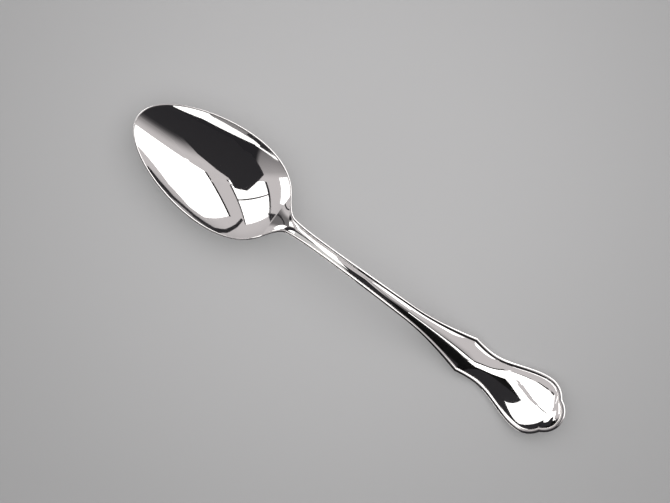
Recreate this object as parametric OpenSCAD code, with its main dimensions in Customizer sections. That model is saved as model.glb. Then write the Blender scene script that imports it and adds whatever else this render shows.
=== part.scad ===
// Table spoon with an egg-shaped bowl and a threaded border round a shaped handle.
// The spoon lies along X with the bowl towards -X and rests on Z = 0.
// Stations are measured along the spoon from the tip of the bowl.

/* [Overall] */
// Length from the tip of the bowl to the end of the handle, mm
spoon_length = 205; // [185:1:240]

/* [Bowl] */
// Length of the bowl, mm
bowl_length = 70.2; // [60:0.1:80]
// Greatest width of the bowl, mm
bowl_width = 41.2; // [34:0.1:50]
// Depth of the hollow below the foot of the rim, mm
bowl_depth = 8.4; // [6:0.1:12]
// Thickness of the metal at the bottom of the bowl, mm
bowl_wall = 1.7; // [0.9:0.1:2.5]
// How much narrower the tip is than the neck end, 0 being an ellipse
bowl_egg = 0.38; // [0.1:0.01:0.55]
// How far the deepest place shifts towards the neck, 0 being the middle
bowl_fullness = 0.2; // [0.05:0.01:0.4]
// Width of the rounded rim, mm
rim_width = 0.7; // [0.5:0.1:2.2]
// Height of the rounded rim above its edges, mm
rim_height = 0.15; // [0.05:0.05:0.6]
// Rise of the rim at the tip above its lowest place, mm
rim_tip_rise = 0.3; // [0:0.1:2]
// Rise of the rim at the neck above its lowest place, mm
rim_neck_rise = 1.9; // [0:0.1:4]

/* [Heel] */
// Length of the tongue under the bowl, mm
heel_length = 18; // [10:0.5:26]
// Width of the tongue where it leaves the neck, mm
heel_width = 10; // [6:0.1:14]
// Rise of the tongue above its own edge, mm
heel_height = 1.4; // [0.6:0.1:2]
// Thickness of the tongue at its edge, mm
heel_edge = 0.25; // [0.15:0.05:0.6]

/* [Neck] */
// How far the neck reaches over the end of the bowl, mm
neck_overlap = 3.2; // [2.4:0.1:5]
// Length of the curve from the rim of the bowl into the stem, mm
shoulder_length = 7.2; // [5:0.1:12]
// Width of the stem where that curve ends, mm
shoulder_width = 6.7; // [5:0.1:9]
// Length of the throat that rises from the bowl onto the stem, mm
throat_length = 10; // [8:0.1:14]

/* [Stem] */
// Narrowest width of the stem, mm
stem_width = 5.3; // [4:0.1:8]
// Distance of the narrowest place from the end of the bowl, mm
stem_narrow_at = 21; // [14:0.5:30]
// Depth of the stem below the foot of the thread, next to the neck, mm
stem_depth = 3.2; // [2.2:0.1:4.5]
// Height of the crowned face of the stem above the foot of the thread, mm
stem_crown = 0.42; // [0.2:0.02:1]
// Height of the arch, to the foot of the thread, mm
arch_height = 15.5; // [13:0.1:24]
// Distance of the top of the arch from the end of the bowl, mm
arch_at = 40; // [30:0.5:50]

/* [Handle] */
// Distance from the end back to where the handle starts to widen, mm
flare_to_end = 74; // [60:0.5:80]
// Width where the handle starts to widen, mm
flare_width = 6.7; // [5:0.1:9]
// Depth of the handle below the foot of the thread where it starts to widen, mm
flare_depth = 2.4; // [1.6:0.1:3.5]
// Distance from the end back to the pointed shoulders, mm
corner_to_end = 45.7; // [42:0.1:52]
// Width across the pointed shoulders, mm
corner_width = 16; // [11:0.1:20]
// Distance from the end back to the waist, mm
waist_to_end = 37; // [32:0.1:40]
// Width of the waist, mm
waist_width = 14.1; // [9:0.1:18]
// Distance from the end back to the widest place, mm
widest_to_end = 13; // [10:0.1:18]
// Greatest width of the handle, mm
handle_width = 24.9; // [19:0.1:30]
// Width of the middle lobe at the end, from notch to notch, mm
lobe_width = 15.6; // [11:0.1:17]
// Length of the middle lobe beyond the notches, mm
lobe_length = 4.9; // [3.5:0.1:6.5]
// Depth of the handle plate below the foot of the thread, mm
handle_depth = 1.5; // [0.9:0.1:2.5]
// Height of the crowned face at the pointed shoulders, mm
corner_crown = 0.95; // [0.4:0.05:2]
// Height of the crowned face at the widest place, mm
handle_crown = 1.6; // [0.6:0.05:3]
// Length of the round where the crowned face falls to the thread at the end, mm
end_shoulder = 3.5; // [2:0.1:8]
// Distance from the end back to where the handle rests on the table, mm
rest_to_end = 31; // [20:0.5:31]
// Rise of the end above that place, mm
end_rise = 6.6; // [1:0.1:9]
// Hollow across the back of the handle, which leaves two lines to rest on, mm
back_hollow = 0.3; // [0:0.05:0.6]

/* [Thread border] */
// Height of the thread above its foot, mm
thread_height = 0.45; // [0.3:0.05:1]
// Width of the thread along the stem, mm
stem_thread = 1.2; // [0.7:0.05:1.6]
// Width of the thread round the handle, mm
handle_thread = 1.7; // [1:0.05:2.4]

/* [Hidden] */

silver = [0.82, 0.82, 0.83];

// Steps along each piece, and across the crowned face
bowl_steps = 26;
heel_steps = 10;
neck_steps = 9;
stem_steps = 15;
handle_steps = 26;
side_lobe_steps = 7;
end_lobe_steps = 8;
bowl_across = 14;
face_across = 8;
// Places across the thread, from its outer to its inner edge
across_thread = [for (a = [0:45:180]) (1 - cos(a)) / 2];

// Slopes of the outline, sideways against along
shoulder_slope = -0.13;
flare_slope = 0.03;
corner_slope_in = 0.25;
corner_slope_out = -0.17;
// Slope of the upturned end, against the mean slope of its rise
end_turn = 2.1;

bowl_mid = bowl_length / 2;
rim_out = bowl_length / 2;
rim_in = bowl_length / 2 - rim_width;
neck_at = bowl_length - neck_overlap;
neck_end = neck_at + throat_length;
narrow_at = bowl_length + stem_narrow_at;
arch_top_at = bowl_length + arch_at;
flare_at = spoon_length - flare_to_end;
corner_at = spoon_length - corner_to_end;
waist_at = spoon_length - waist_to_end;
rest_at = spoon_length - rest_to_end;
widest_at = spoon_length - widest_to_end;
notch_at = spoon_length - lobe_length;

// A cubic from v0 to v1 over a run, with slopes m0 and m1 at its ends
function cubic(t, run, v0, m0, v1, m1) =
    v0 + (2 * t - 3) * t * t * (v0 - v1)
    + ((t - 2) * t + 1) * t * run * m0
    + (t - 1) * t * t * run * m1;

// A smooth curve through knots of [station, value, slope before, slope after]
function along(knots, s, i = 0) =
    i < len(knots) - 2 && s > knots[i + 1][0]
    ? along(knots, s, i + 1)
    : let (a = knots[i], b = knots[i + 1], run = b[0] - a[0])
        cubic(min(1, (s - a[0]) / run), run, a[1], a[3], b[1], b[2]);

function mix(a, b, t) = a + (b - a) * t;

// The bowl: an egg curve, with x from -1 at the tip to 1 at the neck end
egg_peak = (1 - sqrt(1 - bowl_egg * bowl_egg)) / bowl_egg;
egg_widest = sqrt((1 - egg_peak * egg_peak) / (1 - bowl_egg * egg_peak));
egg_half = bowl_width / 2 / egg_widest;
function egg(x, half) = half * sqrt(max(0, (1 - x * x) / (1 - bowl_egg * x)));
function outer_half(s) = egg((s - bowl_mid) / rim_out, egg_half);

// How the depth of the bowl varies along its middle, 1 at the deepest place
deepest = (sqrt(1 + 3 * bowl_fullness * bowl_fullness) - 1) / (3 * bowl_fullness);
function swell(x) = (1 - x * x) * (1 + bowl_fullness * x);
function bulge(x) = swell(x) / swell(deepest);

// Height of the foot of the rim, with the bowl's lowest point on the table
function rim_rise(x) =
    (rim_tip_rise + rim_neck_rise) / 2 * x * x
    + (rim_neck_rise - rim_tip_rise) / 2 * x * x * x;
bowl_foot = max([for (x = [-0.6:0.005:0.6])
    (bowl_depth + bowl_wall) * bulge(x) - rim_rise(x)]);
function rim_foot(s) = bowl_foot + rim_rise((s - bowl_mid) / rim_out);

// Values where the neck leaves the bowl, taken from the bowl
small = 0.01;
neck_half = outer_half(neck_at);
neck_slope = (neck_half - outer_half(neck_at - small)) / small;
neck_inner = egg((neck_at - bowl_mid) / rim_in, egg_half - rim_width);
neck_foot_slope = (rim_foot(neck_at) - rim_foot(neck_at - small)) / small;
neck_hollow = -bowl_depth * bulge((neck_at - bowl_mid) / rim_in);
neck_depth = (bowl_depth + bowl_wall) * bulge((neck_at - bowl_mid) / rim_out);

// Half width of the outline beyond the bowl
edge_knots = [
    [neck_at, neck_half, 0, neck_slope],
    [neck_at + shoulder_length, shoulder_width / 2, shoulder_slope, shoulder_slope],
    [narrow_at, stem_width / 2, 0, 0],
    [flare_at, flare_width / 2, flare_slope, flare_slope],
    [corner_at, corner_width / 2, corner_slope_in, corner_slope_out],
    [waist_at, waist_width / 2, 0, 0],
    [widest_at, handle_width / 2, 0, 0]
];
function edge(s) = along(edge_knots, s);
function edge_slope(s) = (edge(min(widest_at, s + small)) - edge(s - small)) / (2 * small);

// Width of the thread, square to the outline
thread_knots = [
    [neck_at, (neck_half - neck_inner) / norm([1, neck_slope]), 0, 0],
    [neck_end, stem_thread, 0, 0],
    [flare_at, stem_thread, 0, 0],
    [corner_at, handle_thread, 0, 0],
    [spoon_length, handle_thread, 0, 0]
];
function thread_across(s) =
    s <= neck_at ? neck_half - neck_inner : along(thread_knots, s) * norm([1, edge_slope(s)]);

// Height of the thread, which starts as high as the rim
thread_rise_knots = [
    [neck_at, rim_height, 0, 0],
    [neck_end, thread_height, 0, 0],
    [spoon_length, thread_height, 0, 0]
];

// Form of the back: round under the stem, flat with rounded edges under the handle
square_knots = [[neck_at, 2, 0, 0], [flare_at, 2, 0, 0], [widest_at, 8, 0, 0], [spoon_length, 8, 0, 0]];
// The hollow across the back, from none at the stem to its full depth where the handle rests
hollow_knots = [[neck_at, 0, 0, 0], [flare_at, 0, 0, 0],
    [rest_at, back_hollow, 0, 0], [spoon_length, back_hollow, 0, 0]];

// Height of the foot of the thread, with the two lines of the back on the table
rest_foot = max([for (v = [0:0.02:1])
    handle_depth * sqrt(1 - pow(v, along(square_knots, rest_at))) - back_hollow * pow(1 - v * v, 2)]);
foot_knots = [
    [neck_at, rim_foot(neck_at), 0, neck_foot_slope],
    [arch_top_at, arch_height, 0, 0],
    [rest_at, rest_foot, 0, 0],
    [spoon_length, rest_foot + end_rise, end_turn * end_rise / rest_to_end, 0]
];
function foot(s) = along(foot_knots, s);

// Height of the face above the foot, hollow in the throat and crowned beyond
crown_knots = [
    [neck_at, neck_hollow, 0, 0.25],
    [neck_end, stem_crown, 0, 0],
    [flare_at, stem_crown, 0, 0],
    [corner_at, corner_crown, 0.02, 0.02],
    [widest_at, handle_crown, 0, 0],
    [spoon_length - handle_thread - end_shoulder, handle_crown, 0, 0],
    [spoon_length - handle_thread, 0, -2 * handle_crown / end_shoulder, 0]
];
function crown(s) = along(crown_knots, s);

// Depth of the underside below the foot, and the form of its section
depth_knots = [
    [neck_at, neck_depth, 0, 0],
    [neck_end, stem_depth, 0, 0],
    [flare_at, flare_depth, -0.02, -0.02],
    [corner_at, handle_depth, 0, 0],
    [spoon_length, handle_depth, 0, 0]
];
function depth(s) = along(depth_knots, s);
// A dish at the bowl, a full round at the stem
round_knots = [[neck_at, 2, 0, 0], [neck_end, 1, 0, 0], [spoon_length, 1, 0, 0]];
// The tongue's thickness, which runs out along the neck
tongue_knots = [[neck_at, heel_height + heel_edge, 0, 0], [neck_end, 0, 0, 0], [spoon_length, 0, 0, 0]];

// A station: outer edge, inner edge of the thread, and the section's values
function station(outer, inner, face, under, square, round, tongue, hollow) =
    [outer, inner, face, under, square, round, tongue, hollow];

function bowl_station(u) =
    let (
        turn_out = u * acos((bowl_mid - neck_at) / rim_out),
        turn_in = u * acos((bowl_mid - neck_at) / rim_in),
        xo = -cos(turn_out),
        xi = -cos(turn_in),
        so = bowl_mid + rim_out * xo,
        si = bowl_mid + rim_in * xi
    )
    station(
        [so, egg(xo, egg_half), rim_foot(so)],
        [si, egg(xi, egg_half - rim_width), rim_foot(si)],
        -bowl_depth * bulge(xi),
        (bowl_depth + bowl_wall) * bulge(xo),
        2, 2, 0, 0
    );

function stem_station(s, so = undef, yo = undef, yi = undef) =
    let (
        so = is_undef(so) ? s : so,
        yo = is_undef(yo) ? edge(s) : yo,
        yi = is_undef(yi) ? edge(s) - thread_across(s) : yi
    )
    station(
        [so, yo, foot(so)],
        [s, yi, foot(s)],
        crown(s),
        depth(so),
        along(square_knots, so),
        along(round_knots, so),
        along(tongue_knots, so),
        along(hollow_knots, so)
    );

// The lobes: arcs of the outline and of the inner edge of the thread
side_drop = (handle_width - lobe_width) / 2;
side_run = widest_to_end - lobe_length;
side_r = (side_run * side_run + side_drop * side_drop) / (2 * side_drop);
side_y = handle_width / 2 - side_r;
end_r = (lobe_width * lobe_width / 4 + lobe_length * lobe_length) / (2 * lobe_length);
end_at = spoon_length - end_r;
// Where the two inner arcs meet, on the inner side of the notch
apart = norm([end_at - widest_at, side_y]);
inner_side_r = side_r - handle_thread;
inner_end_r = end_r - handle_thread;
reach = (inner_side_r * inner_side_r - inner_end_r * inner_end_r + apart * apart) / (2 * apart);
lift = sqrt(max(0, inner_side_r * inner_side_r - reach * reach));
inner_notch = [
    widest_at + ((end_at - widest_at) * reach + side_y * lift) / apart,
    side_y + (-side_y * reach + (end_at - widest_at) * lift) / apart
];

function side_lobe_station(t) =
    let (
        a = mix(90, atan2(lobe_width / 2 - side_y, side_run), t),
        b = mix(90, atan2(inner_notch[1] - side_y, inner_notch[0] - widest_at), t)
    )
    stem_station(
        widest_at + inner_side_r * cos(b),
        widest_at + side_r * cos(a),
        side_y + side_r * sin(a),
        side_y + inner_side_r * sin(b)
    );

function end_lobe_station(t) =
    let (
        a = mix(atan2(lobe_width / 2, notch_at - end_at), 0, t),
        b = mix(atan2(inner_notch[1], inner_notch[0] - end_at), 0, t)
    )
    stem_station(
        end_at + inner_end_r * cos(b),
        end_at + end_r * cos(a),
        end_r * sin(a),
        inner_end_r * sin(b)
    );

bowl_stations = [for (i = [0:bowl_steps]) bowl_station(i / bowl_steps)];
neck_stations = [for (i = [0:neck_steps]) stem_station(mix(neck_at, neck_end, i / neck_steps))];
stem_stations = [for (i = [0:stem_steps]) stem_station(mix(neck_end, flare_at, i / stem_steps))];

// The handle has stations at its corner, its waist, its rest and its widest place
handle_marks = [flare_at, corner_at, waist_at, rest_at, widest_at];
function spread(marks, steps) =
    let (run = marks[len(marks) - 1] - marks[0])
    [for (i = [0:len(marks) - 2])
        let (n = max(1, round(steps * (marks[i + 1] - marks[i]) / run)))
        for (k = [0:n - 1]) mix(marks[i], marks[i + 1], k / n)];
handle_stations = concat(
    [for (s = spread(handle_marks, handle_steps)) stem_station(s)],
    [for (i = [0:side_lobe_steps]) side_lobe_station(i / side_lobe_steps)],
    [for (i = [1:end_lobe_steps]) end_lobe_station(i / end_lobe_steps)]
);

// Height of the underside of a station at distance y from the middle
function under_at(st, y) =
    let (
        v = st[0][1] > small ? min(1, abs(y) / st[0][1]) : 1,
        w = min(1, abs(y) / (heel_width / 2))
    )
    st[0][2] - st[3] * pow(max(0, 1 - pow(v, st[4])), st[5] / 2)
    - st[6] * (1 - w * w) + st[7] * pow(1 - v * v, 2);

// Points over the thread's strip, from its outer to its inner edge, raised by a half round
function strip(st, rise) =
    [for (f = across_thread)
        mix(st[0], st[1], f) + [0, 0, rise * sqrt(max(0, 1 - pow(2 * f - 1, 2)))]];

function flip(p) = [p[0], -p[1], p[2]];
function turned(list) = [for (i = [len(list) - 1:-1:0]) list[i]];

// The top of a section, from edge to edge
function top_row(st, rise, across) =
    let (side = strip(st, rise))
    concat(
        side,
        [for (k = [1:across - 1])
            let (v = 1 - 2 * k / across)
            [st[1][0], v * st[1][1], st[1][2] + st[2] * (1 - v * v)]],
        [for (p = turned(side)) flip(p)]
    );

// The underside of a section, back again between the edges
function under_row(st, top) =
    [for (k = [len(top) - 2:-1:1]) [st[0][0], top[k][1], under_at(st, top[k][1])]];

function section(st, rise, across) =
    let (top = top_row(st, rise, across))
    concat(top, under_row(st, top));

function placed(p) = [p[0] - spoon_length / 2, p[1], p[2]];

// A skin over rings that each hold a top row and the row below it.
// top is the length of the top row; pinched ends close to a line along the middle.
module skin(rings, top, mirrored = true, pinched_start = false, pinched_end = false) {
    m = len(rings[0]);
    last = len(rings) - 1;
    strip_top = len(across_thread) - 1;
    half = (top - 1) / 2;
    function pinned(i) = (i == 0 && pinched_start) || (i == last && pinched_end);
    function at(i, k) =
        i * m + (!pinned(i) ? k % m : k % m >= top ? 0 : min(k % m, top - 1 - k % m, strip_top));
    function leaning(k) = mirrored ? k < half || (k >= top - 1 && k < top - 1 + half) : k < top - 1;
    sides = [for (i = [0:last - 1]) for (k = [0:m - 1])
        let (a = at(i, k), b = at(i, k + 1), c = at(i + 1, k), d = at(i + 1, k + 1))
        each (leaning(k) ? [[a, d, b], [a, c, d]] : [[a, c, b], [b, c, d]])];
    start_cap = pinched_start ? [] : [for (k = [0:top - 2])
        let (a = at(0, k), b = at(0, k + 1), c = at(0, m - k), d = at(0, m - k - 1))
        each [[a, b, d], [a, d, c]]];
    end_cap = pinched_end ? [] : [for (k = [0:top - 2])
        let (a = at(last, k), b = at(last, k + 1), c = at(last, m - k), d = at(last, m - k - 1))
        each [[a, d, b], [a, c, d]]];
    polyhedron(
        points = [for (r = rings) for (p = r) placed(p)],
        faces = [for (f = concat(sides, start_cap, end_cap))
            if (f[0] != f[1] && f[1] != f[2] && f[2] != f[0]) f]
    );
}

module plain_piece(stations, pinched_end = false) {
    rings = [for (st = stations) section(st, 0, face_across)];
    skin(rings, len(rings[0]) / 2 + 1, pinched_end = pinched_end);
}

module bowl() {
    rings = [for (st = bowl_stations) section(st, rim_height, bowl_across)];
    color(silver)
    skin(rings, len(rings[0]) / 2 + 1, pinched_start = true);
}

// The metal above the back of the bowl, which the tongue stops against
module bowl_back() {
    first = [for (i = [0:bowl_steps])
        if (bowl_stations[i][0][0] < neck_at - heel_length - rim_width) i];
    tops = [for (i = [len(first) - 1:bowl_steps]) top_row(bowl_stations[i], 0, bowl_across)];
    unders = [for (i = [len(first) - 1:bowl_steps])
        under_row(bowl_stations[i], top_row(bowl_stations[i], 0, bowl_across))];
    n = len(tops[0]);
    rings = [for (i = [0:len(tops) - 1])
        concat(
            [for (k = [0:n - 1])
                let (p = tops[i][k])
                [unders[i][0][0], p[1], k == 0 || k == n - 1 ? p[2] : p[2] + bowl_depth]],
            unders[i]
        )];
    skin(concat(rings, [[for (p = rings[len(rings) - 1]) p + [bowl_wall, 0, 0]]]), n);
}

module heel() {
    blunt = 10;
    rings = [for (i = [0:heel_steps])
        let (
            turn = mix(blunt, 90, i / heel_steps),
            s = neck_at - heel_length * cos(turn),
            half = heel_width / 2 * sin(turn),
            x = (s - bowl_mid) / rim_out,
            st = station(
                [s, egg(x, egg_half), rim_foot(s)], [], 0,
                (bowl_depth + bowl_wall) * bulge(x), 2, 2, 0, 0
            ),
            ys = [for (k = [0:face_across]) half * cos(180 * k / face_across)]
        )
        concat(
            [for (y = ys) [s, y, under_at(st, y) + bowl_wall / 2]],
            [for (y = turned(ys))
                let (w = y / half)
                [s, y, under_at(st, y) - heel_edge - heel_height * pow(sin(turn), 2) * (1 - w * w)]]
        )];
    color(silver)
    difference() {
        block(rings);
        bowl_back();
    }
}

// A skin over rings with separate top and bottom rows of equal length
module block(rings) {
    m = len(rings[0]);
    last = len(rings) - 1;
    function at(i, k) = i * m + k % m;
    sides = [for (i = [0:last - 1]) for (k = [0:m - 1])
        each [[at(i, k), at(i + 1, k), at(i, k + 1)], [at(i, k + 1), at(i + 1, k), at(i + 1, k + 1)]]];
    caps = [for (k = [0:m / 2 - 2])
        each [
            [at(0, k), at(0, k + 1), at(0, m - 2 - k)],
            [at(0, k), at(0, m - 2 - k), at(0, m - 1 - k)],
            [at(last, k), at(last, m - 2 - k), at(last, k + 1)],
            [at(last, k), at(last, m - 1 - k), at(last, m - 2 - k)]
        ]];
    polyhedron(points = [for (r = rings) for (p = r) placed(p)], faces = concat(sides, caps));
}

module neck() {
    color(silver)
    plain_piece(neck_stations);
}

module stem() {
    color(silver)
    plain_piece(stem_stations);
}

module handle() {
    color(silver)
    plain_piece(handle_stations, pinched_end = true);
}

// The thread along one edge, from the rim of the bowl to the middle of the end
module thread() {
    stations = concat(
        neck_stations,
        [for (i = [1:stem_steps]) stem_stations[i]],
        [for (i = [1:len(handle_stations) - 1]) handle_stations[i]]
    );
    rings = [for (st = stations)
        let (low = strip(st, 0))
        concat(strip(st, along(thread_rise_knots, st[0][0])), [for (k = [len(low) - 2:-1:1]) low[k]])];
    skin(rings, len(across_thread), mirrored = false);
}

module left_thread() {
    color(silver)
    thread();
}

module right_thread() {
    color(silver)
    mirror([0, 1, 0])
    thread();
}

bowl();
heel();
neck();
stem();
handle();
left_thread();
right_thread();
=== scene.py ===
import math

import bmesh
import bpy
import numpy as np
from mathutils import Matrix, Vector


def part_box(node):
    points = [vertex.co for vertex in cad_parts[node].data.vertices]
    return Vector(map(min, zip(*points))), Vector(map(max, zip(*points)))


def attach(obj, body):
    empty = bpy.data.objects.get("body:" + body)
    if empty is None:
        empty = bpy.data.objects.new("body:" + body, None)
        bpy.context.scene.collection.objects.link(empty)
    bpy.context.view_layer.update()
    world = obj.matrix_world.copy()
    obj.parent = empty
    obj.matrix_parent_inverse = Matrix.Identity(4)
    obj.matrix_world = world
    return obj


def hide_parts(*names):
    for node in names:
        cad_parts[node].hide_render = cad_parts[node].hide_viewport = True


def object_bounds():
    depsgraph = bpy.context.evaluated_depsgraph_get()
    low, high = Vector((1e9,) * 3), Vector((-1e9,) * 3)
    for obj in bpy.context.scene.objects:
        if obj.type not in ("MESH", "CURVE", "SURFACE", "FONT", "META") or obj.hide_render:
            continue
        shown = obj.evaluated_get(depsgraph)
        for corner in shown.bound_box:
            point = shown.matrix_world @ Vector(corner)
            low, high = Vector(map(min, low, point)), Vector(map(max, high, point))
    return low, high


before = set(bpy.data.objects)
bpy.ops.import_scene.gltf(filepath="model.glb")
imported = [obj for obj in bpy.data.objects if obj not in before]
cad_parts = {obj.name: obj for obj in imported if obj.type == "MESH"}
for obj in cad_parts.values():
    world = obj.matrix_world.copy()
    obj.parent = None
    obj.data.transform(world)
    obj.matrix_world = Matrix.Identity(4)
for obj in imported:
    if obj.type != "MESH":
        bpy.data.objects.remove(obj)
cadLow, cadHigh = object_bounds()
mm = 0.001
small = 0.01          # mm, the step for a slope
weldDistance = 1e-7   # metres, for points that fall together
creaseAngle = 22      # degrees, from which an edge shows as a crease
print("frame loaded with", len(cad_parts), "nodes")

# Stations are mm along the spoon from the tip of the bowl, as in the part's source, and the sizes of
# the pieces are mm too
tipX = cadLow.x / mm


def startOf(node):
    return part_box(node)[0].x / mm - tipX


def widthOf(node):
    low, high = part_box(node)
    return (high.y - low.y) / mm


spoonLength = (cadHigh.x - cadLow.x) / mm
neckAt, stemAt, handleAt = startOf("neck"), startOf("stem"), startOf("handle")


# A cubic from v0 to v1 over a run, with slopes m0 and m1 at its ends
def cubic(t, run, v0, m0, v1, m1):
    return (v0 + (2 * t - 3) * t * t * (v0 - v1)
            + ((t - 2) * t + 1) * t * run * m0 + (t - 1) * t * t * run * m1)


# A smooth curve through knots of (station, value, slope before, slope after)
def along(knots, s):
    i = 0
    while i < len(knots) - 2 and s > knots[i + 1][0]:
        i += 1
    (s0, v0, _, m0), (s1, v1, m1, _) = knots[i], knots[i + 1]
    return cubic(min(1, (s - s0) / (s1 - s0)), s1 - s0, v0, m0, v1, m1)


thread = {
    "height": 0.45,  # mm above its foot
    "onStem": 1.2,   # mm wide
    "onHandle": 1.7,
    "across": 20,    # steps over the half round
}

bowl = {
    "length": 70.2,
    "width": widthOf("bowl"),
    "depth": 8.4,      # hollow below the foot of the rim
    "wall": 1.7,
    "egg": 0.38,       # how much narrower the tip is than the neck end
    "fullness": 0.2,   # shifts the deepest place towards the neck
    "rim": 0.7,
    "rimHeight": 0.15,
    "tipRise": 0.3,
    "neckRise": 1.9,
    "steps": 150,
    "across": 56,
}
bowlMid = bowl["length"] / 2
rimIn = bowlMid - bowl["rim"]
eggPeak = (1 - math.sqrt(1 - bowl["egg"] ** 2)) / bowl["egg"]
eggWidest = math.sqrt((1 - eggPeak ** 2) / (1 - bowl["egg"] * eggPeak))
eggHalf = bowl["width"] / 2 / eggWidest


# The outline of the bowl, x from -1 at the tip to 1 at the neck end
def egg(x, half):
    return half * math.sqrt(max(0, (1 - x * x) / (1 - bowl["egg"] * x)))


def swell(x):
    return (1 - x * x) * (1 + bowl["fullness"] * x)


deepest = (math.sqrt(1 + 3 * bowl["fullness"] ** 2) - 1) / (3 * bowl["fullness"])


def bulge(x):
    return swell(x) / swell(deepest)


def rimRise(x):
    return ((bowl["tipRise"] + bowl["neckRise"]) / 2 * x * x
            + (bowl["neckRise"] - bowl["tipRise"]) / 2 * x ** 3)


# The foot of the rim is as high as puts the lowest place of the bowl on the table
shell = bowl["depth"] + bowl["wall"]
bowlFoot = max(shell * bulge(x) - rimRise(x) for x in np.arange(-0.6, 0.6, 0.005))


def rimFoot(s):
    return bowlFoot + rimRise((s - bowlMid) / bowlMid)


# A station: outer edge, inner edge of the border, and how the section is formed
def bowlStation(u):
    xo = -math.cos(u * math.acos((bowlMid - neckAt) / bowlMid))
    xi = -math.cos(u * math.acos((bowlMid - neckAt) / rimIn))
    so, si = bowlMid + bowlMid * xo, bowlMid + rimIn * xi
    return {
        "outer": (so, egg(xo, eggHalf), rimFoot(so)),
        "inner": (si, egg(xi, eggHalf - bowl["rim"]), rimFoot(si)),
        "face": -bowl["depth"] * bulge(xi),
        "under": shell * bulge(xo),
        "square": 2, "round": 2, "tongue": 0, "hollow": 0,
    }


heel = {
    "length": 18,
    "width": widthOf("heel"),
    "height": 1.4, "edge": 0.25,  # thickness in the middle, above that of its edge
    "sunk": 0.4,                  # how far it reaches into the bowl's wall
    "blunt": 10,                  # degrees cut off its tip
    "steps": 40, "across": 40,
}
neck = {
    "shoulder": 7.2, "shoulderWidth": 6.7, "shoulderSlope": -0.13,
    "rise": 0.25,  # how steeply the hollow of the bowl runs out in it
    "steps": 36,
}
stem = {
    "width": 5.3, "narrowAt": 21,  # the narrowest place, from the end of the bowl
    "depth": 3.2, "crown": 0.42,
    "arch": 15.5, "archAt": 40,    # the highest place
    "steps": 80,
}
handle = {
    "flareWidth": 6.7, "flareDepth": 2.4, "flareSlope": 0.03,
    "cornerToEnd": 45.7, "cornerWidth": 16, "cornerIn": 0.25, "cornerOut": -0.17,  # the pointed shoulders
    "cornerCrown": 0.95, "cornerRise": 0.02,
    "waistToEnd": 37, "waistWidth": 14.1,
    "restToEnd": 31, "endRise": 6.6, "endTurn": 2.1,  # where it lies, and how its end turns up
    "widestToEnd": 13, "width": widthOf("handle"), "crown": 1.6, "endShoulder": 3.5,
    "lobeWidth": 15.6, "lobeLength": 4.9,
    "depth": 1.5, "thinning": -0.02,
    "squareness": 8,     # of the back at the widest place, where 2 is round
    "backHollow": 0.3,
    "steps": 120, "lobeSteps": 30, "across": 48,
}

narrowAt = bowl["length"] + stem["narrowAt"]
archAt = bowl["length"] + stem["archAt"]
cornerAt = spoonLength - handle["cornerToEnd"]
waistAt = spoonLength - handle["waistToEnd"]
restAt = spoonLength - handle["restToEnd"]
widestAt = spoonLength - handle["widestToEnd"]
notchAt = spoonLength - handle["lobeLength"]

# What the neck takes over from the bowl
neckX = (neckAt - bowlMid) / bowlMid
neckInX = (neckAt - bowlMid) / rimIn
neckHalf = egg(neckX, eggHalf)
neckSlope = (neckHalf - egg((neckAt - small - bowlMid) / bowlMid, eggHalf)) / small
neckInner = egg(neckInX, eggHalf - bowl["rim"])
neckFootSlope = (rimFoot(neckAt) - rimFoot(neckAt - small)) / small

edgeKnots = [
    (neckAt, neckHalf, 0, neckSlope),
    (neckAt + neck["shoulder"], neck["shoulderWidth"] / 2, neck["shoulderSlope"], neck["shoulderSlope"]),
    (narrowAt, stem["width"] / 2, 0, 0),
    (handleAt, handle["flareWidth"] / 2, handle["flareSlope"], handle["flareSlope"]),
    (cornerAt, handle["cornerWidth"] / 2, handle["cornerIn"], handle["cornerOut"]),
    (waistAt, handle["waistWidth"] / 2, 0, 0),
    (widestAt, handle["width"] / 2, 0, 0),
]
threadKnots = [
    (neckAt, (neckHalf - neckInner) / math.hypot(1, neckSlope), 0, 0),
    (stemAt, thread["onStem"], 0, 0),
    (handleAt, thread["onStem"], 0, 0),
    (cornerAt, thread["onHandle"], 0, 0),
    (spoonLength, thread["onHandle"], 0, 0),
]
riseKnots = [(neckAt, bowl["rimHeight"], 0, 0), (stemAt, thread["height"], 0, 0),
             (spoonLength, thread["height"], 0, 0)]
squareKnots = [(neckAt, 2, 0, 0), (handleAt, 2, 0, 0),
               (widestAt, handle["squareness"], 0, 0), (spoonLength, handle["squareness"], 0, 0)]
hollowKnots = [(neckAt, 0, 0, 0), (handleAt, 0, 0, 0),
               (restAt, handle["backHollow"], 0, 0), (spoonLength, handle["backHollow"], 0, 0)]
restSquare = along(squareKnots, restAt)
restFoot = max(handle["depth"] * math.sqrt(1 - v ** restSquare)
               - handle["backHollow"] * (1 - v * v) ** 2 for v in np.arange(0, 1, 0.02))
footKnots = [
    (neckAt, rimFoot(neckAt), 0, neckFootSlope),
    (archAt, stem["arch"], 0, 0),
    (restAt, restFoot, 0, 0),
    (spoonLength, restFoot + handle["endRise"],
     handle["endTurn"] * handle["endRise"] / handle["restToEnd"], 0),
]
faceEnd = spoonLength - thread["onHandle"]
crownKnots = [
    (neckAt, -bowl["depth"] * bulge(neckInX), 0, neck["rise"]),
    (stemAt, stem["crown"], 0, 0),
    (handleAt, stem["crown"], 0, 0),
    (cornerAt, handle["cornerCrown"], handle["cornerRise"], handle["cornerRise"]),
    (widestAt, handle["crown"], 0, 0),
    (faceEnd - handle["endShoulder"], handle["crown"], 0, 0),
    (faceEnd, 0, -2 * handle["crown"] / handle["endShoulder"], 0),
]
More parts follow.
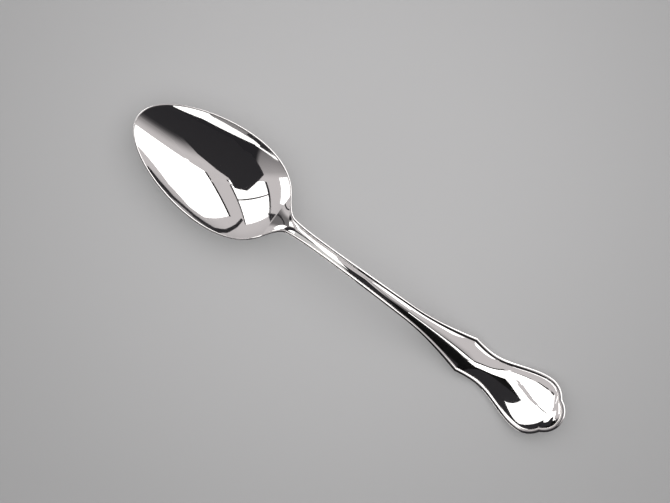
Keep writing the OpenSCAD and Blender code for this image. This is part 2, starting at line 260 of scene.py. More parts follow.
depthKnots = [
    (neckAt, shell * bulge(neckX), 0, 0),
    (stemAt, stem["depth"], 0, 0),
    (handleAt, handle["flareDepth"], handle["thinning"], handle["thinning"]),
    (cornerAt, handle["depth"], 0, 0),
    (spoonLength, handle["depth"], 0, 0),
]
roundKnots = [(neckAt, 2, 0, 0), (stemAt, 1, 0, 0), (spoonLength, 1, 0, 0)]
tongueKnots = [(neckAt, heel["height"] + heel["edge"], 0, 0), (stemAt, 0, 0, 0), (spoonLength, 0, 0, 0)]


def edge(s):
    return along(edgeKnots, s)


def threadAcross(s):
    if s <= neckAt:
        return neckHalf - neckInner
    slope = (edge(min(widestAt, s + small)) - edge(s - small)) / (2 * small)
    return along(threadKnots, s) * math.hypot(1, slope)


def stemStation(s, so=None, yo=None, yi=None):
    so = s if so is None else so
    yo = edge(s) if yo is None else yo
    yi = edge(s) - threadAcross(s) if yi is None else yi
    return {
        "outer": (so, yo, along(footKnots, so)),
        "inner": (s, yi, along(footKnots, s)),
        "face": along(crownKnots, s),
        "under": along(depthKnots, so),
        "square": along(squareKnots, so),
        "round": along(roundKnots, so),
        "tongue": along(tongueKnots, so),
        "hollow": along(hollowKnots, so),
    }


# The lobes are arcs of the outline, and the inner edge of the border runs inside them
sideDrop = (handle["width"] - handle["lobeWidth"]) / 2
sideRun = handle["widestToEnd"] - handle["lobeLength"]
sideRadius = (sideRun ** 2 + sideDrop ** 2) / (2 * sideDrop)
sideY = handle["width"] / 2 - sideRadius
endRadius = (handle["lobeWidth"] ** 2 / 4 + handle["lobeLength"] ** 2) / (2 * handle["lobeLength"])
endAt = spoonLength - endRadius
sideInner = sideRadius - thread["onHandle"]
endInner = endRadius - thread["onHandle"]
apart = math.hypot(endAt - widestAt, sideY)
reach = (sideInner ** 2 - endInner ** 2 + apart ** 2) / (2 * apart)
lift = math.sqrt(max(0, sideInner ** 2 - reach ** 2))
innerNotch = (widestAt + ((endAt - widestAt) * reach + sideY * lift) / apart,
              sideY + (-sideY * reach + (endAt - widestAt) * lift) / apart)


def lobeStation(t, at, y, outer, inner, start, stop):
    a, b = (start[i] + (stop[i] - start[i]) * t for i in (0, 1))
    return stemStation(at + inner * math.cos(b), at + outer * math.cos(a),
                       y + outer * math.sin(a), y + inner * math.sin(b))


def sideLobe(t):
    stop = (math.atan2(handle["lobeWidth"] / 2 - sideY, sideRun),
            math.atan2(innerNotch[1] - sideY, innerNotch[0] - widestAt))
    return lobeStation(t, widestAt, sideY, sideRadius, sideInner, (math.pi / 2, math.pi / 2), stop)


def endLobe(t):
    start = (math.atan2(handle["lobeWidth"] / 2, notchAt - endAt),
             math.atan2(innerNotch[1], innerNotch[0] - endAt))
    return lobeStation(t, endAt, 0, endRadius, endInner, start, (0, 0))


def spread(marks, steps):
    run = marks[-1] - marks[0]
    places = []
    for a, b in zip(marks, marks[1:]):
        places += list(np.linspace(a, b, max(1, round(steps * (b - a) / run)), endpoint=False))
    return places


bowlStations = [bowlStation(u) for u in np.linspace(0, 1, bowl["steps"] + 1)]
neckStations = [stemStation(s) for s in np.linspace(neckAt, stemAt, neck["steps"] + 1)]
stemStations = [stemStation(s) for s in np.linspace(stemAt, handleAt, stem["steps"] + 1)]
handleMarks = [handleAt, cornerAt, waistAt, restAt, widestAt]
handleStations = [stemStation(s) for s in spread(handleMarks, handle["steps"])]
handleStations += [sideLobe(t) for t in np.linspace(0, 1, handle["lobeSteps"] + 1)]
handleStations += [endLobe(t) for t in np.linspace(0, 1, handle["lobeSteps"] + 1)[1:]]
print("stations:", len(bowlStations), len(neckStations), len(stemStations), len(handleStations))


def underAt(st, y):
    _, half, foot = st["outer"]
    v = np.minimum(1, np.abs(y) / half) if half > small else np.ones_like(y)
    w = np.minimum(1, np.abs(y) / (heel["width"] / 2))
    return (foot - st["under"] * np.maximum(0, 1 - v ** st["square"]) ** (st["round"] / 2)
            - st["tongue"] * (1 - w * w) + st["hollow"] * (1 - v * v) ** 2)


# Points over the border's strip from its outer to its inner edge, raised by a half round
def strip(st, rise):
    f = (1 - np.cos(np.linspace(0, math.pi, thread["across"] + 1))) / 2
    outer, inner = np.array(st["outer"]), np.array(st["inner"])
    row = outer + f[:, None] * (inner - outer)
    row[:, 2] += rise * np.sqrt(np.maximum(0, 1 - (2 * f - 1) ** 2))
    return row


def section(st, rise, across):
    side = strip(st, rise)
    s, y, z = st["inner"]
    v = np.linspace(1, -1, across + 1)[1:-1]
    face = np.stack([np.full_like(v, s), v * y, z + st["face"] * (1 - v * v)], 1)
    top = np.concatenate([side, face, side[::-1] * (1, -1, 1)])
    back = top[-2:0:-1].copy()
    back[:, 0] = st["outer"][0]
    back[:, 2] = underAt(st, back[:, 1])
    return np.concatenate([top, back])


# A closed mesh over rings that each run along an upper row and back along a lower one. The rows share
# their end points, or with twin=1 have end points of their own.
def skin(name, rings, openStart=True, openEnd=True, twin=0):
    rings = np.array(rings)
    count, m, _ = rings.shape
    points = (rings.reshape(-1, 3) + (tipX, 0, 0)) * mm
    faces = [(i * m + k, (i + 1) * m + k, (i + 1) * m + (k + 1) % m, i * m + (k + 1) % m)
             for i in range(count - 1) for k in range(m)]
    for i, isOpen in ((0, openStart), (count - 1, openEnd)):
        if isOpen:
            caps = [[i * m + k % m for k in (j, j + 1, m - j - 1 - twin, m - j - twin)]
                    for j in range(m // 2 - twin)]
            faces += [tuple(dict.fromkeys(cap)) for cap in caps]
    mesh = bpy.data.meshes.new(name)
    mesh.from_pydata(points.tolist(), [], faces)
    shape = bmesh.new()
    shape.from_mesh(mesh)
    bmesh.ops.remove_doubles(shape, verts=shape.verts, dist=weldDistance)
    bmesh.ops.recalc_face_normals(shape, faces=shape.faces)
    shape.to_mesh(mesh)
    shape.free()
    mesh.polygons.foreach_set("use_smooth", [True] * len(mesh.polygons))
    mesh.set_sharp_from_angle(angle=math.radians(creaseAngle))
    return mesh


def heelMesh():
    rings = []
    for turn in np.radians(np.linspace(heel["blunt"], 90, heel["steps"] + 1)):
        s = neckAt - heel["length"] * math.cos(turn)
        x = (s - bowlMid) / bowlMid
        st = {"outer": (s, egg(x, eggHalf), rimFoot(s)), "under": shell * bulge(x),
              "square": 2, "round": 2, "tongue": 0, "hollow": 0}
        w = np.cos(np.linspace(0, math.pi, heel["across"] + 1))
        y = heel["width"] / 2 * math.sin(turn) * w
        back = underAt(st, y)
        low = back - heel["edge"] - heel["height"] * math.sin(turn) ** 2 * (1 - w * w)
        place = np.full_like(y, s)
        upper = np.stack([place, y, back + heel["sunk"]], 1)
        lower = np.stack([place, y, low], 1)[::-1]
        rings.append(np.concatenate([upper, lower]))
    return skin("heelTongue", rings, twin=1)


def bodyMesh(name, stations, rise=0, across=handle["across"], **ends):
    return skin(name, [section(st, rise, across) for st in stations], **ends)


def threadMesh(name, side):
    rings = []
    for st in neckStations + stemStations[1:] + handleStations[1:]:
        raised, flat = strip(st, along(riseKnots, st["outer"][0])), strip(st, 0)
        rings.append(np.concatenate([raised, flat[-2:0:-1]]) * (1, side, 1))
    return skin(name, rings)


# An sRGB hex value as linear light
def linear(hexColour):
    parts = [int(hexColour[i:i + 2], 16) / 255 for i in (1, 3, 5)]
    return tuple(((c + 0.055) / 1.055) ** 2.4 if c > 0.04045 else c / 12.92 for c in parts) + (1,)


# Adds a node, sets its properties, and links or sets its inputs
def addNode(tree, kind, settings, inputs):
    made = tree.nodes.new(kind)
    for key, value in settings.items():
        setattr(made, key, value)
    for key, value in inputs.items():
        if isinstance(value, bpy.types.NodeSocket):
            tree.links.new(value, made.inputs[key])
        else:
            made.inputs[key].default_value = value
    return made


silver = {
    "bright": "#F6F4F1",
    "worn": "#EFEDEB",
    "roughLow": 0.02,
    "roughHigh": 0.06,
    "hairline": 0.35,       # mm between hairlines; real ones are finer, drawn this coarse to show
    "hairlineLength": 9,    # mm
    "hairlineDetail": 3, "hairlineGrain": 0.6,
    "patch": 14,            # mm, size of the patches that handling has dulled
    "patchDetail": 4, "patchGrain": 0.55,
    "dullFrom": 0.4,        # share of the patch noise at which the dulling starts
    "dullTo": 0.7,
    "scratchDepth": 0.0006,  # mm
}


# Silver, stamped and then buffed to a mirror: it shows sharp reflections, with fine buffing
# hairlines along the spoon and faintly duller patches where it has been held and wiped
def makePolishedSilver():
    material = bpy.data.materials.new("polishedSilver")
    material.use_nodes = True
    tree = material.node_tree
    tree.nodes.clear()
    place = addNode(tree, "ShaderNodeTexCoord", {}, {})
    stretched = addNode(tree, "ShaderNodeMapping", {}, {
        "Vector": place.outputs["Object"],
        "Scale": (silver["hairline"] / silver["hairlineLength"], 1, 1)})
    hairlines = addNode(tree, "ShaderNodeTexNoise", {}, {
        "Vector": stretched.outputs["Vector"], "Scale": 1 / (silver["hairline"] * mm),
        "Detail": silver["hairlineDetail"], "Roughness": silver["hairlineGrain"]})
    patches = addNode(tree, "ShaderNodeTexNoise", {}, {
        "Vector": place.outputs["Object"], "Scale": 1 / (silver["patch"] * mm),
        "Detail": silver["patchDetail"], "Roughness": silver["patchGrain"]})
    dulled = addNode(tree, "ShaderNodeMapRange", {}, {
        "Value": patches.outputs["Fac"], "From Min": silver["dullFrom"], "From Max": silver["dullTo"],
        "To Min": silver["roughLow"], "To Max": silver["roughHigh"]})
    tint = addNode(tree, "ShaderNodeMix", {"data_type": "RGBA"}, {
        0: patches.outputs["Fac"], 6: linear(silver["bright"]), 7: linear(silver["worn"])})
    scratched = addNode(tree, "ShaderNodeBump", {}, {
        "Height": hairlines.outputs["Fac"], "Strength": 1, "Distance": silver["scratchDepth"] * mm})
    surface = addNode(tree, "ShaderNodeBsdfPrincipled", {}, {
        "Base Color": tint.outputs[2], "Metallic": 1, "Roughness": dulled.outputs["Result"],
        "Normal": scratched.outputs["Normal"]})
    addNode(tree, "ShaderNodeOutputMaterial", {}, {"Surface": surface.outputs["BSDF"]})
    return material


polishedSilver = makePolishedSilver()


def addPiece(mesh, node):
    piece = bpy.data.objects.new(mesh.name, mesh)
    bpy.context.scene.collection.objects.link(piece)
    mesh.materials.append(polishedSilver)
    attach(piece, "root")
    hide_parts(node)
    return piece


pieces = {
    "bowl": addPiece(bodyMesh("bowlShell", bowlStations, bowl["rimHeight"], bowl["across"],
                              openStart=False), "bowl"),
    "heel": addPiece(heelMesh(), "heel"),
    "neck": addPiece(bodyMesh("neckThroat", neckStations), "neck"),
    "stem": addPiece(bodyMesh("stemShank", stemStations), "stem"),
    "handle": addPiece(bodyMesh("handlePlate", handleStations, openEnd=False), "handle"),
    "leftThread": addPiece(threadMesh("leftThread", 1), "left_thread"),
    "rightThread": addPiece(threadMesh("rightThread", -1), "right_thread"),
}
print("pieces:", ", ".join(f"{p.name} {len(p.data.polygons)}" for p in pieces.values()))


# A placing from a point and the three axes of what stands there
def placed(at, right, up, back):
    return Matrix.Translation(at) @ Matrix((right, up, back)).transposed().to_4x4()


# The camera looks almost straight down; the picture's right and up are turned from the spoon's axis
camera = {
    "aim": (-8.831, 2.552, 0), "distance": 897.5,  # mm
    "elevation": 88, "turn": 36.055,               # degrees
    "focalPixels": 2269.44, "imageWidth": 670,
    "sensor": 36,                                  # mm
    "clip": (0.01, 50),                            # metres
}
turn, rise = math.radians(camera["turn"]), math.radians(camera["elevation"])
imageRight = Vector((math.cos(turn), math.sin(turn), 0))
imageUp = Vector((-math.sin(turn), math.cos(turn), 0))
away = Vector((0, 0, math.sin(rise))) - imageUp * math.cos(rise)
lens = bpy.data.cameras.new("camera")
lens.sensor_fit = "HORIZONTAL"
lens.sensor_width = camera["sensor"]
lens.lens = camera["sensor"] * camera["focalPixels"] / camera["imageWidth"]
lens.clip_start, lens.clip_end = camera["clip"]
viewer = bpy.data.objects.new("camera", lens)
bpy.context.scene.collection.objects.link(viewer)
viewFrom = (Vector(camera["aim"]) + away * camera["distance"]) * mm
viewer.matrix_world = placed(viewFrom, imageRight, away.cross(imageRight), away)
bpy.context.scene.camera = viewer

studio = {
    "wall": "#CAC6C8", "dark": "#272629", "frontWall": "#8A8889", "cloth": "#303030", "white": "#FFFFFF",
    "backdrop": "#B7B7B7",
    "glow": 1.6,                         # radiance of a softbox, with paper white at 1
    "fill": 1.2,                         # and of the even light on the floor
    "stemFill": 0.6,                     # and of the dim light on the stem beside the neck
    "darkFrom": -0.08, "darkTo": -0.46,  # how far down the picture the room falls dark
    "leftWall": -0.72, "leftSoft": 0.02,  # a wall on the left, and how it lightens up the picture
    "leftFade": (-0.9, 0.2), "leftShade": (0.15, 0.9),
    "lowFade": (0.2, 0.45), "lowShade": 0.75,  # the room is darker near the table
    "corner": (-0.514, 0.448, 0.731),    # a dark corner behind the left softbox
    "cornerFade": (0.956, 0.99), "cornerShade": 0.25,
    "wallReach": 1.6, "railReach": 1.55, "cornerReach": 1.8,  # metres from the bowl
    "frontReach": 1.9, "frontRailReach": 1.7,
    "frontLean": 74, "frontTurn": (185, 360, 17),  # degrees: from, to and step
    "centreUp": 5, "centreForward": 5,   # mm above the table and from the bowl's middle to the neck
}
paper = {
    # The paper's colour at its lightest place, and a darker edge colour that is painted shade for the light
    # falling off away from there
    "light": "#B0B0B0", "edge": "#989898",
    "roughness": 0.9,
    "size": 9,                  # metres
    "lightest": 0.04,           # metres up the picture to its lightest place
    "paintedShadeFall": (0.03, 0.22),       # metres from there over which the painted shade darkens it to the edge colour
}


# Matt grey paper, uncoated: it shows no gloss. Its colour darkens softly away from its lightest place, a
# painted shade that stands in for the light falling off towards the corners
def makePaperWithPaintedShade():
    material = bpy.data.materials.new("greyPaperPaintedShade")
    material.use_nodes = True
    tree = material.node_tree
    surface = tree.nodes["Principled BSDF"]
    place = addNode(tree, "ShaderNodeTexCoord", {}, {})
    reach = addNode(tree, "ShaderNodeVectorMath", {"operation": "DISTANCE"}, {
        0: place.outputs["Object"], 1: imageUp * paper["lightest"]})
    paintedShadeFall = addNode(tree, "ShaderNodeMapRange", {"interpolation_type": "SMOOTHSTEP"}, {
        "Value": reach.outputs["Value"], "From Min": paper["paintedShadeFall"][0], "From Max": paper["paintedShadeFall"][1]})
    shade = addNode(tree, "ShaderNodeMix", {"data_type": "RGBA"}, {
        0: paintedShadeFall.outputs["Result"], 6: linear(paper["light"]), 7: linear(paper["edge"])})
    tree.links.new(shade.outputs[2], surface.inputs["Base Color"])
    surface.inputs["Roughness"].default_value = paper["roughness"]
    return material


half = paper["size"] / 2
floorMesh = bpy.data.meshes.new("floor")
floorCorners = [(-half, -half, 0), (half, -half, 0), (half, half, 0), (-half, half, 0)]
floorMesh.from_pydata(floorCorners, [], [(0, 1, 2, 3)])
floorMesh.materials.append(makePaperWithPaintedShade())
floor = bpy.data.objects.new("floor", floorMesh)
bpy.context.scene.collection.objects.link(floor)

# What a lamp or card lights, as the bowl and the handle see different parts of the studio, and the
# centres from which it is laid out
bowlOnly = [pieces["bowl"], pieces["heel"]]
bowlGroup = bowlOnly + [pieces["neck"]]
threadGroup = [pieces["leftThread"], pieces["rightThread"]]
handleGroup = [pieces["stem"], pieces["handle"]]
bowlCentre = Vector((tipX + bowlMid + studio["centreForward"], 0, studio["centreUp"])) * mm
handleCentre = Vector((tipX + widestAt, 0, studio["centreUp"])) * mm
stemCentre = Vector((tipX + archAt, 0, stem["arch"])) * mm


# A point in metres from a centre, as (image right, image up, height)
def inPicture(centre, point):
    return centre + imageRight * point[0] + imageUp * point[1] + Vector((0, 0, point[2]))


def lightOnly(thing, receivers):
    lit = bpy.data.collections.new(thing.name + "Lit")
    for receiver in receivers:
        lit.objects.link(receiver)
    thing.light_linking.receiver_collection = lit


# Each softbox has a corner and the two corners next to it, in metres from a centre
softboxes = [
    {"name": "rightSoftbox", "from": bowlCentre, "lights": bowlGroup + threadGroup,
     "corner": (0.576, 0.448, 3.2), "along": (0.118, 2.772, 1.98), "across": (1.63, -0.43, 1.58)},
    {"name": "leftSoftboxNear", "from": bowlCentre, "lights": bowlOnly,
     "corner": (-0.32, 0.20, 1.49), "along": (-0.45, 0.92, 1.5), "across": (-2.02, -0.09, 1.69)},
    {"name": "leftSoftboxFar", "from": bowlCentre, "lights": bowlOnly,
     "corner": (-0.46, 0.97, 1.5), "along": (-0.73, 2.58, 1.51), "across": (-2.16, 0.68, 1.7)},
    {"name": "handleSoftbox", "from": handleCentre, "lights": [pieces["handle"]],
     "corner": (0.351, 0.858, 1.3), "along": (0.351, -0.546, 1.3), "across": (-1.105, 0.858, 1.3)},
    {"name": "handleSoftboxLow", "from": handleCentre, "lights": [pieces["handle"]],
     "corner": (-0.169, 0.411, 1.21), "along": (-0.605, -0.242, 1.21), "across": (-0.617, 0.714, 1.21)},
    {"name": "handleSoftboxSide", "from": handleCentre, "lights": [pieces["handle"]],
     "corner": (-0.605, -0.266, 1.21), "along": (-0.605, 0.484, 1.21), "across": (-1.15, -0.266, 1.21)},
    {"name": "handleStrip", "from": handleCentre, "lights": [pieces["handle"]],
     "corner": (0.325, -0.429, 1.3), "along": (0.728, -0.598, 1.3), "across": (0.37, -0.321, 1.3)},
    {"name": "neckSoftbox", "from": stemCentre, "lights": [pieces["neck"]],
     "corner": (-0.666, 0.484, 1.21), "along": (-0.8, 1.45, 1.21), "across": (-0.363, 0.508, 1.21)},
    {"name": "neckStrip", "from": stemCentre, "lights": [pieces["neck"]],
     "corner": (-0.581, -0.121, 1.21), "along": (-1.03, -0.847, 1.21), "across": (-0.762, -0.012, 1.21)},
    {"name": "stemSoftbox", "from": stemCentre, "lights": [pieces["stem"], pieces["neck"]],
     "corner": (-0.479, -0.392, 1.21), "along": (0.376, 1.0, 1.21), "across": (-0.6, -0.311, 1.21)},
    {"name": "stemFill", "from": stemCentre, "lights": [pieces["stem"]], "glow": studio["stemFill"],
     "corner": (-0.405, -0.151, 1.21), "along": (-1.11, -1.208, 1.21), "across": (-0.848, 0.144, 1.21)},
    {"name": "stemEdge", "from": stemCentre, "lights": [pieces["stem"]],
     "corner": (1.08, 0, 1.21), "along": (0.605, 0.63, 1.21), "across": (1.36, 0.21, 1.21)},
    {"name": "stemStrip", "from": stemCentre, "lights": handleGroup + [floor],
     "corner": (1.2, 0.15, 1.21), "along": (0.95, 1.6, 1.21), "across": (1.65, 0.3, 1.21)},
    {"name": "sideSoftbox", "from": bowlCentre, "lights": bowlOnly,
     "corner": (-2, -0.30, 0.68), "along": (-2, -0.30, 1.0), "across": (-2, 0.86, 0.68)},
    {"name": "frontStrip", "from": bowlCentre, "lights": bowlGroup,
     "corner": (-2.2, -2, 0.66), "along": (-2.2, -2, 1.0), "across": (-0.26, -2, 0.66)},
    {"name": "frontStripEnd", "from": bowlCentre, "lights": bowlGroup,
     "corner": (-0.85, -2, 0.72), "along": (-0.2, -2, 1.07), "across": (-0.945, -2, 0.896)},
    {"name": "frontLine", "from": bowlCentre, "lights": bowlOnly,
     "corner": (-1.259, -1.216, 0.637), "along": (-1.573, -0.767, 0.6), "across": (-1.259, -1.216, 0.596)},
    {"name": "threadStrip", "from": stemCentre, "lights": threadGroup,
     "corner": (-1.196, -1.477, 0.335), "along": (-1.871, -0.33, 0.335), "across": (-1.196, -1.477, 1.01)},
    {"name": "floorFill", "from": Vector(), "lights": [floor], "glow": studio["fill"],
     "corner": (-1.5, -1.5, 1.21), "along": (-1.5, 1.5, 1.21), "across": (1.5, -1.5, 1.21)},
]


def addSoftbox(box):
    corner, far, side = (inPicture(box["from"], box[key]) for key in ("corner", "along", "across"))
    tall, wide = far - corner, side - corner
    wide -= tall * wide.dot(tall) / tall.length_squared     # squared up, as a lamp is a rectangle
    centre = corner + (tall + wide) / 2
    facing = wide.cross(tall).normalized()
    if facing.dot(centre - box["from"]) < 0:
        wide, facing = -wide, -facing
    lamp = bpy.data.lights.new(box["name"], "AREA")
    lamp.shape = "RECTANGLE"
    lamp.size, lamp.size_y = wide.length, tall.length
    radiance = box.get("glow", studio["glow"])
    lamp.energy = radiance * math.pi * lamp.size * lamp.size_y   # watts
    holder = bpy.data.objects.new(box["name"], lamp)
    bpy.context.scene.collection.objects.link(holder)
    holder.matrix_world = placed(centre, wide.normalized(), tall.normalized(), facing)
    holder.visible_camera = False
    lightOnly(holder, box["lights"])
    if box["lights"] == [floor]:                            # this even light casts no shadow
        holder.light_linking.blocker_collection = holder.light_linking.receiver_collection


for box in softboxes:
    addSoftbox(box)
print("softboxes:", len(softboxes))


# The colour of the room in a direction: grey overhead and up the picture, dark down the picture, with
# a grey wall on the left and a dark corner
def roomColour(tree, direction):
    dot = {"operation": "DOT_PRODUCT"}
    up = addNode(tree, "ShaderNodeVectorMath", dot, {0: direction, 1: imageUp})
    side = addNode(tree, "ShaderNodeVectorMath", dot, {0: direction, 1: imageRight})
    towards = addNode(tree, "ShaderNodeVectorMath", dot, {
        0: direction, 1: inPicture(Vector(), studio["corner"])})
    height = addNode(tree, "ShaderNodeSeparateXYZ", {}, {"Vector": direction})
    smooth = {"interpolation_type": "SMOOTHSTEP"}
    back = addNode(tree, "ShaderNodeMapRange", smooth, {
        "Value": up.outputs["Value"], "From Min": studio["darkTo"], "From Max": studio["darkFrom"]})
    wall = addNode(tree, "ShaderNodeMapRange", smooth, {
        "Value": side.outputs["Value"], "From Min": studio["leftWall"] + studio["leftSoft"],
        "From Max": studio["leftWall"] - studio["leftSoft"]})
    wallShade = addNode(tree, "ShaderNodeMapRange", smooth, {
        "Value": up.outputs["Value"], "From Min": studio["leftFade"][0], "From Max": studio["leftFade"][1],
        "To Min": studio["leftShade"][0], "To Max": studio["leftShade"][1]})
    left = addNode(tree, "ShaderNodeMath", {"operation": "MULTIPLY"}, {
        0: wall.outputs["Result"], 1: wallShade.outputs["Result"]})
    grey = addNode(tree, "ShaderNodeMath", {"operation": "MAXIMUM"}, {
        0: back.outputs["Result"], 1: left.outputs["Value"]})
    shade = addNode(tree, "ShaderNodeMapRange", smooth, {
        "Value": height.outputs["Z"], "From Min": studio["lowFade"][0], "From Max": studio["lowFade"][1],
        "To Min": studio["lowShade"]})
    corner = addNode(tree, "ShaderNodeMapRange", smooth, {
        "Value": towards.outputs["Value"], "From Min": studio["cornerFade"][0],
        "From Max": studio["cornerFade"][1], "To Min": 1, "To Max": studio["cornerShade"]})
    shaded = addNode(tree, "ShaderNodeMath", {"operation": "MULTIPLY"}, {
        0: grey.outputs["Value"], 1: shade.outputs["Result"]})
    share = addNode(tree, "ShaderNodeMath", {"operation": "MULTIPLY"}, {
        0: shaded.outputs["Value"], 1: corner.outputs["Result"]})
    room = addNode(tree, "ShaderNodeMix", {"data_type": "RGBA"}, {
        0: share.outputs["Value"], 6: linear(studio["dark"]), 7: linear(studio["wall"])})
    return room.outputs[2]


def makeWorld():
    world = bpy.data.worlds.new("studio")
    bpy.context.scene.world = world
    world.use_nodes = True
    tree = world.node_tree
    tree.nodes.clear()
    place = addNode(tree, "ShaderNodeTexCoord", {}, {})
    ray = addNode(tree, "ShaderNodeLightPath", {}, {})
    seen = addNode(tree, "ShaderNodeMix", {"data_type": "RGBA"}, {
        0: ray.outputs["Is Camera Ray"], 6: roomColour(tree, place.outputs["Generated"]),
        7: linear(studio["backdrop"])})
    background = addNode(tree, "ShaderNodeBackground", {}, {"Color": seen.outputs[2], "Strength": 1})
    addNode(tree, "ShaderNodeOutputWorld", {}, {"Surface": background.outputs["Background"]})


# A board or a tape that shines evenly in a colour, or with none in the colour of the room behind it
def makeBoard(name, colour="", glow=1):
    material = bpy.data.materials.new(name)
    material.use_nodes = True
    tree = material.node_tree
    tree.nodes.clear()
    if colour:
        shown = addNode(tree, "ShaderNodeEmission", {}, {"Color": linear(colour), "Strength": glow})
    else:                                                # as seen from the bowl
        place = addNode(tree, "ShaderNodeNewGeometry", {}, {})
        line = addNode(tree, "ShaderNodeVectorMath", {"operation": "SUBTRACT"}, {
            0: place.outputs["Position"], 1: bowlCentre})
        direction = addNode(tree, "ShaderNodeVectorMath", {"operation": "NORMALIZE"}, {
            0: line.outputs["Vector"]})
        shown = addNode(tree, "ShaderNodeEmission", {}, {
            "Color": roomColour(tree, direction.outputs["Vector"])})
    cloth = addNode(tree, "ShaderNodeBsdfDiffuse", {}, {"Color": linear(studio["cloth"])})
    both = addNode(tree, "ShaderNodeAddShader", {}, {0: shown.outputs["Emission"], 1: cloth.outputs["BSDF"]})
    addNode(tree, "ShaderNodeOutputMaterial", {}, {"Surface": both.outputs["Shader"]})
    return material


blackCloth = makeBoard("blackCloth", studio["dark"])
roomBoard = makeBoard("roomBoard")
glowBoard = makeBoard("glowBoard", studio["white"], studio["glow"])
greyTape = makeBoard("greyTape", studio["wall"])
frontCloth = makeBoard("frontCloth", studio["frontWall"])

# Cards over the spoon, drawn as their outline in (image right, image up) for each metre of height.
# One that lights only the bowl is black in the handle.
cards = [
    {"name": "darkFlag", "from": bowlCentre, "height": 1.25, "material": blackCloth, "lights": [],
     "outline": [(0.16, -1.1), (0.156, -0.43), (0.105, -0.24), (-0.073, -0.037), (-0.24, 0.08), (-0.29, 0.31),
                 (-0.58, 0.31), (-1.27, -0.30), (-1.27, -1.1)]},
    {"name": "handleFlag", "from": handleCentre, "height": 1.28, "material": roomBoard, "lights": bowlGroup,
     "outline": [(-1.2, -1.5), (-1.2, -0.27), (-0.62, -0.24), (-0.5, -0.2), (-0.42, -0.05), (-0.3, 0.1),
                 (-0.13, 0.13), (0.05, 0.2), (0.06, 0), (0.09, -0.2), (0.13, -0.39), (0.36, -0.41),
                 (0.5, -0.58), (0.9, -1.0), (0.9, -1.5)]},
]
# Thin edges and seams of the softboxes, each along a line of points in metres
edges = [
    {"name": "rightSoftboxEdge", "from": bowlCentre, "width": 0.06,
     "material": greyTape, "lights": handleGroup + threadGroup,
     "line": [(0.26, 0.23, 1.58), (0.03, 1.38, 0.97)]},
    {"name": "leftSoftboxEdge", "from": bowlCentre, "width": 0.06,
     "material": blackCloth, "lights": [],
     "line": [(-0.30, 0.20, 1.48), (-0.71, 2.58, 1.5)]},
    {"name": "leftSoftboxSide", "from": bowlCentre, "width": 0.12,
     "material": blackCloth, "lights": [],
     "line": [(-2.04, -0.09, 1.67), (-2.45, 2.28, 1.69)]},
    {"name": "leftSoftboxSeam", "from": bowlCentre, "width": 0.05,
     "material": blackCloth, "lights": [],
     "line": [(-0.455, 0.945, 1.48), (-2.155, 0.655, 1.68)]},
    {"name": "handleSoftboxTop", "from": handleCentre, "width": 0.03,
     "material": roomBoard, "lights": bowlGroup,
     "line": [(-0.065, 0.877, 1.29), (0.065, 0.87, 1.29)]},
    {"name": "handleSoftboxCorner", "from": handleCentre, "width": 0.03,
     "material": glowBoard, "lights": bowlGroup,
     "line": [(0.065, 0.87, 1.29), (0.26, 0.85, 1.29), (0.368, 0.71, 1.29)]},
    {"name": "handleSoftboxEdge", "from": handleCentre, "width": 0.06,
     "material": glowBoard, "lights": bowlGroup,
     "line": [(0.368, 0.71, 1.29), (0.368, 0.14, 1.29)]},
    {"name": "handleSoftboxFoot", "from": handleCentre, "width": 0.06,
     "material": roomBoard, "lights": bowlGroup,
     "line": [(0.368, 0.14, 1.29), (0.368, -0.26, 1.29), (0.45, -0.33, 1.29), (0.8, -0.41, 1.29)]},
    {"name": "handleSoftboxSeam", "from": handleCentre, "width": 0.09,
     "material": greyTape, "lights": [],
     "line": [(-0.03, 0.41, 1.19), (-0.12, 0.36, 1.19), (-0.3, 0.325, 1.19), (-0.4, 0.36, 1.19)]},
    {"name": "handleSoftboxSeamTop", "from": handleCentre, "width": 0.045,
     "material": greyTape, "lights": [],
     "line": [(0.045, 0.5, 1.19), (0.035, 0.47, 1.19), (-0.03, 0.41, 1.19)]},
    {"name": "handleSoftboxSeamEnd", "from": handleCentre, "width": 0.03,
     "material": blackCloth, "lights": [],
     "line": [(-0.4, 0.36, 1.19), (-0.5, 0.4, 1.19), (-0.62, 0.46, 1.19)]},
]


# A point on an upright wall round the bowl: turned from the image's right, and leaning from upright
def onWall(turned, leaning, reach):
    turned, leaning = math.radians(turned), math.radians(leaning)
    return (reach * math.cos(turned), reach * math.sin(turned), reach / math.tan(leaning))


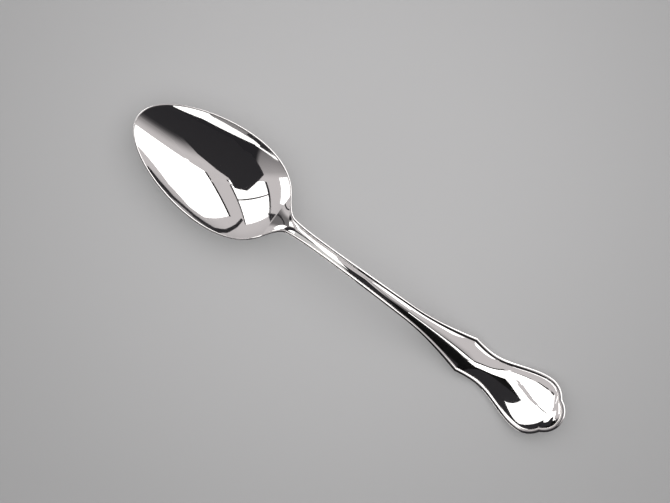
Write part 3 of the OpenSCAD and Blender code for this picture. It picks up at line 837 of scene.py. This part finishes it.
# A low grey wall ends the right softbox, with a dark rail along it. Another stands in front of the
# bowl, and a dark corner shows past the left softbox. Each place is its turn and its lean in degrees.
wallTop = [(86, 55.2), (76.4, 61.6), (64.2, 71), (55.4, 72.6), (43.8, 68.6), (36.4, 66.2), (25.2, 58.4),
           (18, 52.3), (7.7, 46.5), (-6, 40)]
railLine = [(104, 55.4), (93.8, 62.2), (81.6, 70.4), (72.4, 74.7), (59.5, 76.9), (48.2, 77.3), (40.8, 74),
            (35, 70)]
frontRailLine = [(214, 73.4), (222, 73.8), (228, 75.6), (231, 76.6)]
cornerPlaces = [(143.9, 66.8), (138.8, 59.8), (133, 67.4)]
edges += [
    {"name": "wallRail", "from": bowlCentre, "width": 0.08,
     "material": blackCloth, "lights": [],
     "line": [onWall(*place, studio["railReach"]) for place in railLine]},
    {"name": "frontRail", "from": bowlCentre, "width": 0.09,
     "material": blackCloth, "lights": [],
     "line": [onWall(*place, studio["frontRailReach"]) for place in frontRailLine]},
]
walls = [
    {"name": "lowWall", "material": roomBoard, "lights": [],
     "top": [onWall(*place, studio["wallReach"]) for place in wallTop]},
    {"name": "frontWall", "material": frontCloth, "lights": bowlOnly,
     "top": [onWall(turned, studio["frontLean"], studio["frontReach"])
             for turned in range(*studio["frontTurn"])]},
]


def addCard(card, corners, faces):
    mesh = bpy.data.meshes.new(card["name"])
    mesh.from_pydata([list(c) for c in corners], [], faces)
    mesh.materials.append(card["material"])
    board = bpy.data.objects.new(card["name"], mesh)
    bpy.context.scene.collection.objects.link(board)
    board.visible_camera = False
    if card["lights"]:
        lightOnly(board, card["lights"])


# A band between two rows of points
def addBand(card, upper, lower):
    n = len(upper)
    addCard(card, upper + lower, [(i, i + 1, n + i + 1, n + i) for i in range(n - 1)])


for card in cards:
    tall = card["height"]
    corners = [inPicture(card["from"], (r * tall, u * tall, tall)) for r, u in card["outline"]]
    addCard(card, corners, [tuple(range(len(corners)))])
for strap in edges:
    line = [inPicture(strap["from"], point) for point in strap["line"]]
    upper, lower = [], []
    for i, point in enumerate(line):
        run = line[min(i + 1, len(line) - 1)] - line[max(i - 1, 0)]
        across = run.cross(point - strap["from"]).normalized() * strap["width"] / 2
        upper.append(point + across)
        lower.append(point - across)
    addBand(strap, upper, lower)
for wall in walls:
    top = [inPicture(bowlCentre, point) for point in wall["top"]]
    addBand(wall, top, [Vector((p.x, p.y, 0)) for p in top])
cornerCard = {"name": "darkCorner", "material": blackCloth, "lights": []}
addCard(cornerCard, [inPicture(bowlCentre, onWall(*place, studio["cornerReach"])) for place in cornerPlaces],
        [(0, 1, 2)])
print("cards:", len(cards) + len(edges) + len(walls) + 1)

makeWorld()
bpy.context.scene.view_settings.view_transform = "Standard"
print("studio made")
